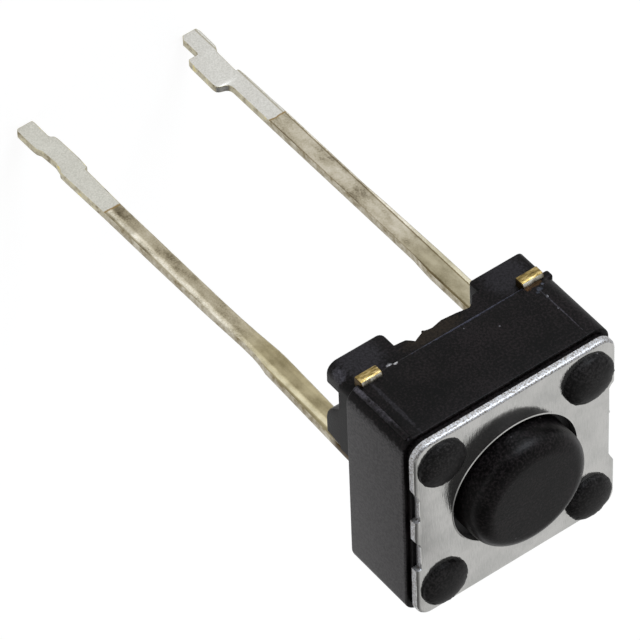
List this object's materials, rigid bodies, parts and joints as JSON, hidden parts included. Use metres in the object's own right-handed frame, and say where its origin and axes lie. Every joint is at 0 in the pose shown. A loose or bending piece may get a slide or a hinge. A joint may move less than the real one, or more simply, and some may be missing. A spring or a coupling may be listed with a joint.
{
  "type": "tactile push button switch",
  "caption": "Square light touch switch with a round sprung button, a staked metal cover plate and long radial wire leads.",
  "frame": {"origin": "centre of the plane that the moulded feet stand on, on the button's axis", "axes": "+Z along the button's axis, out of the button; +X from the left lead to the right lead; +Y towards the side with the cut terminal tabs; the leads run towards -Z"},
  "size_m": [0.006, 0.0062, 0.0171],
  "materials": {
    "base_plastic": "matt black moulding",
    "button_plastic": "matt black moulding",
    "cover_steel": "rolled stainless sheet",
    "dome_steel": "silver plated spring steel",
    "plated_brass": "silver plated brass, tarnished"
  },
  "bodies": {
    "housing": {"base": "base_plastic", "cover_plate": "cover_steel", "left_terminal": "plated_brass", "right_terminal": "plated_brass", "contact_dome": "dome_steel"},
    "plunger": {"button": "button_plastic"}
  },
  "joints": [
    {"name": "button_press", "type": "slide", "parent": "housing", "child": "plunger", "axis": [0, 0, -1], "range_m": [0, 0.00025], "stiffness_N_per_m": 5200, "deforming": ["contact_dome"]}
  ]
}
